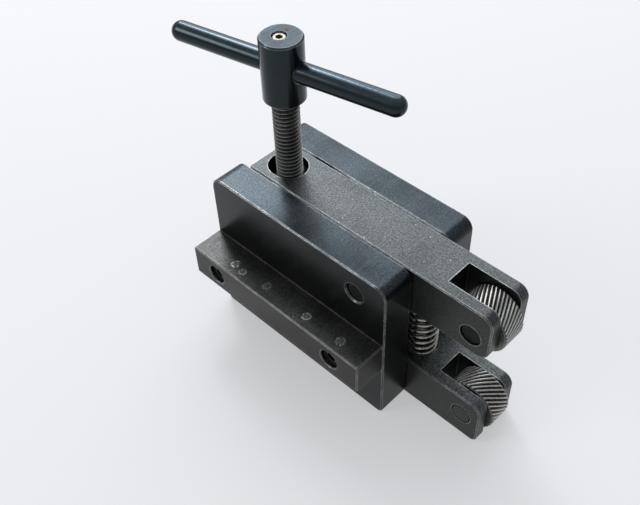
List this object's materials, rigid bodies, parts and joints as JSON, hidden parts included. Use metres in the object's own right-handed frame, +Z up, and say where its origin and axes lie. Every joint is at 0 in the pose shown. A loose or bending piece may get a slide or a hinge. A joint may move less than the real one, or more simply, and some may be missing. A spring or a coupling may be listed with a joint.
{
  "type": "knurling tool",
  "caption": "Clamp-type lathe knurling tool: forked arms pivot between steel cheeks on a square shank, and a tommy-bar screw closes their slanting knurl wheels on round work.",
  "frame": {"origin": "middle of the shank bar's underside, the face that lies on the tool post", "axes": "+X along the arms towards the knurl wheels, +Y from the shank towards the rear cheek, +Z up along the clamping screw"},
  "size_m": [0.1424, 0.0565, 0.1168],
  "materials": {
    "blued_steel": "black oxide over ground steel, satin",
    "shank_steel": "black oxide, handled, with worn bright edges",
    "arm_steel": "black oxide with a fine grey speckle",
    "wheel_steel": "dark hardened steel, teeth rubbed bright",
    "thread_steel": "oiled dark thread with rubbed crests",
    "inner_steel": "plain oiled steel",
    "pin_steel": "ground hardened steel, dulled",
    "spring_steel": "bare spring wire",
    "bright_steel": "bare bright steel",
    "screw_black": "black alloy steel"
  },
  "bodies": {
    "frame": {"front_cheek": "blued_steel", "rear_cheek": "blued_steel", "shank_bar": "shank_steel", "shank_screw": "screw_black", "tie_screw": "screw_black", "spacer_sleeve": "inner_steel", "upper_pivot_pin": "pin_steel", "lower_pivot_pin": "pin_steel"},
    "upper_arm": {"upper_arm": "arm_steel", "upper_wheel_pin": "pin_steel"},
    "lower_arm": {"lower_arm": "arm_steel", "lower_wheel_pin": "pin_steel", "opening_spring": "spring_steel"},
    "upper_wheel": {"upper_knurl_wheel": "wheel_steel"},
    "lower_wheel": {"lower_knurl_wheel": "wheel_steel"},
    "clamp_nut": {"clamp_nut": "inner_steel"},
    "thrust_barrel": {"thrust_barrel": "inner_steel"},
    "clamp_screw": {"clamp_screw": "thread_steel", "handle_hub": "blued_steel", "tommy_bar": "blued_steel", "hub_set_screw": "bright_steel"}
  },
  "joints": [
    {"name": "upper_arm_pivot", "type": "hinge", "parent": "frame", "child": "upper_arm", "pos_m": [0.02755, 0.02863, 0.02927], "axis": [0, 1, 0], "range_deg": [-7.24, 14.87], "deforming": ["opening_spring"]},
    {"name": "lower_arm_pivot", "type": "hinge", "parent": "frame", "child": "lower_arm", "pos_m": [0.02755, 0.02863, -0.01572], "axis": [0, -1, 0], "range_deg": [-7.24, 14.87]},
    {"name": "clamp_nut_tilt", "type": "hinge", "parent": "upper_arm", "child": "clamp_nut", "pos_m": [-0.02365, 0.02863, 0.02927], "axis": [0, -1, 0], "range_deg": [-7.24, 14.87]},
    {"name": "thrust_barrel_tilt", "type": "hinge", "parent": "lower_arm", "child": "thrust_barrel", "pos_m": [-0.02365, 0.02863, -0.01572], "axis": [0, 1, 0], "range_deg": [-7.24, 14.87]},
    {"name": "clamp_screw_turn", "type": "hinge", "parent": "thrust_barrel", "child": "clamp_screw", "pos_m": [-0.02365, 0.02863, -0.01572], "axis": [0, 0, -1], "range_deg": [-2880, 5940]},
    {"name": "upper_wheel_spin", "type": "hinge", "parent": "upper_arm", "child": "upper_wheel", "pos_m": [0.064, 0.02863, 0.02718], "axis": [0, 1, 0], "continuous": true},
    {"name": "lower_wheel_spin", "type": "hinge", "parent": "lower_arm", "child": "lower_wheel", "pos_m": [0.06505, 0.02863, -0.01487], "axis": [0, 1, 0], "continuous": true}
  ],
  "couplings": [
    {"joint": "upper_arm_pivot", "follows": "clamp_screw_turn", "ratio": 0.0024951},
    {"joint": "lower_arm_pivot", "follows": "clamp_screw_turn", "ratio": 0.0024951},
    {"joint": "clamp_nut_tilt", "follows": "clamp_screw_turn", "ratio": 0.0024951},
    {"joint": "thrust_barrel_tilt", "follows": "clamp_screw_turn", "ratio": 0.0024951}
  ]
}
